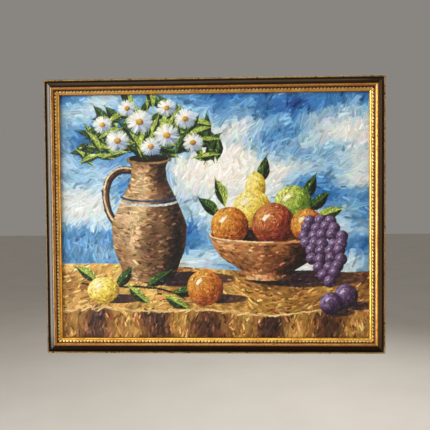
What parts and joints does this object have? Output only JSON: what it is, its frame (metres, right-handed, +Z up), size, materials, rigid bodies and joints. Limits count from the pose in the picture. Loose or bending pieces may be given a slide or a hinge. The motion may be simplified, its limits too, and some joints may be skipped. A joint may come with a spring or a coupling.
{
  "type": "framed painting",
  "caption": "Oil painting on stretched canvas in a dark wooden frame with gilt mouldings, hung flat on a wall by swinging D-rings on its back.",
  "frame": {"origin": "middle of the top rail's back face, on the wall's plane", "axes": "+X to the right as the picture is seen, +Y back to the wall, +Z up"},
  "size_m": [0.5462, 0.031, 0.4433],
  "materials": {
    "dark_wood": "dark brown stain under satin lacquer, rubbed at the edges",
    "gilding": "antique gold leaf over red-brown clay, worn on the high places",
    "painted_canvas": "oil paint in raised strokes",
    "raw_canvas": "unbleached plain-weave canvas",
    "pine": "planed bare pine",
    "steel": "zinc plated"
  },
  "bodies": {
    "frame": {"rail_top": "dark_wood", "outer_lip_top": "gilding", "gilt_bead_top": "gilding", "lobe_row_top": "gilding", "sight_edge_top": "gilding", "canvas_turnover_top": "raw_canvas", "stretcher_top": "pine", "key_top_a": "pine", "point_top_a": "steel", "key_top_b": "pine", "point_top_b": "steel", "rail_right": "dark_wood", "outer_lip_right": "gilding", "gilt_bead_right": "gilding", "lobe_row_right": "gilding", "sight_edge_right": "gilding", "canvas_turnover_right": "raw_canvas", "stretcher_right": "pine", "key_right_a": "pine", "point_right_a": "steel", "key_right_b": "pine", "point_right_b": "steel", "rail_bottom": "dark_wood", "outer_lip_bottom": "gilding", "gilt_bead_bottom": "gilding", "lobe_row_bottom": "gilding", "sight_edge_bottom": "gilding", "canvas_turnover_bottom": "raw_canvas", "stretcher_bottom": "pine", "key_bottom_a": "pine", "point_bottom_a": "steel", "key_bottom_b": "pine", "point_bottom_b": "steel", "rail_left": "dark_wood", "outer_lip_left": "gilding", "gilt_bead_left": "gilding", "lobe_row_left": "gilding", "sight_edge_left": "gilding", "canvas_turnover_left": "raw_canvas", "stretcher_left": "pine", "key_left_a": "pine", "point_left_a": "steel", "key_left_b": "pine", "point_left_b": "steel", "canvas_face": "painted_canvas", "hanger_strap_left": "steel", "hanger_screw_left_upper": "steel", "hanger_screw_left_lower": "steel", "hanger_strap_right": "steel", "hanger_screw_right_upper": "steel", "hanger_screw_right_lower": "steel"},
    "ring_left": {"hanger_ring_left": "steel"},
    "ring_right": {"hanger_ring_right": "steel"}
  },
  "joints": [
    {"name": "ring_left_swing", "type": "hinge", "parent": "frame", "child": "ring_left", "pos_m": [-0.22255, -0.0032, -0.13922], "axis": [1, 0, 0], "range_deg": [0, 180]},
    {"name": "ring_right_swing", "type": "hinge", "parent": "frame", "child": "ring_right", "pos_m": [0.22255, -0.0032, -0.13922], "axis": [1, 0, 0], "range_deg": [0, 180]}
  ]
}
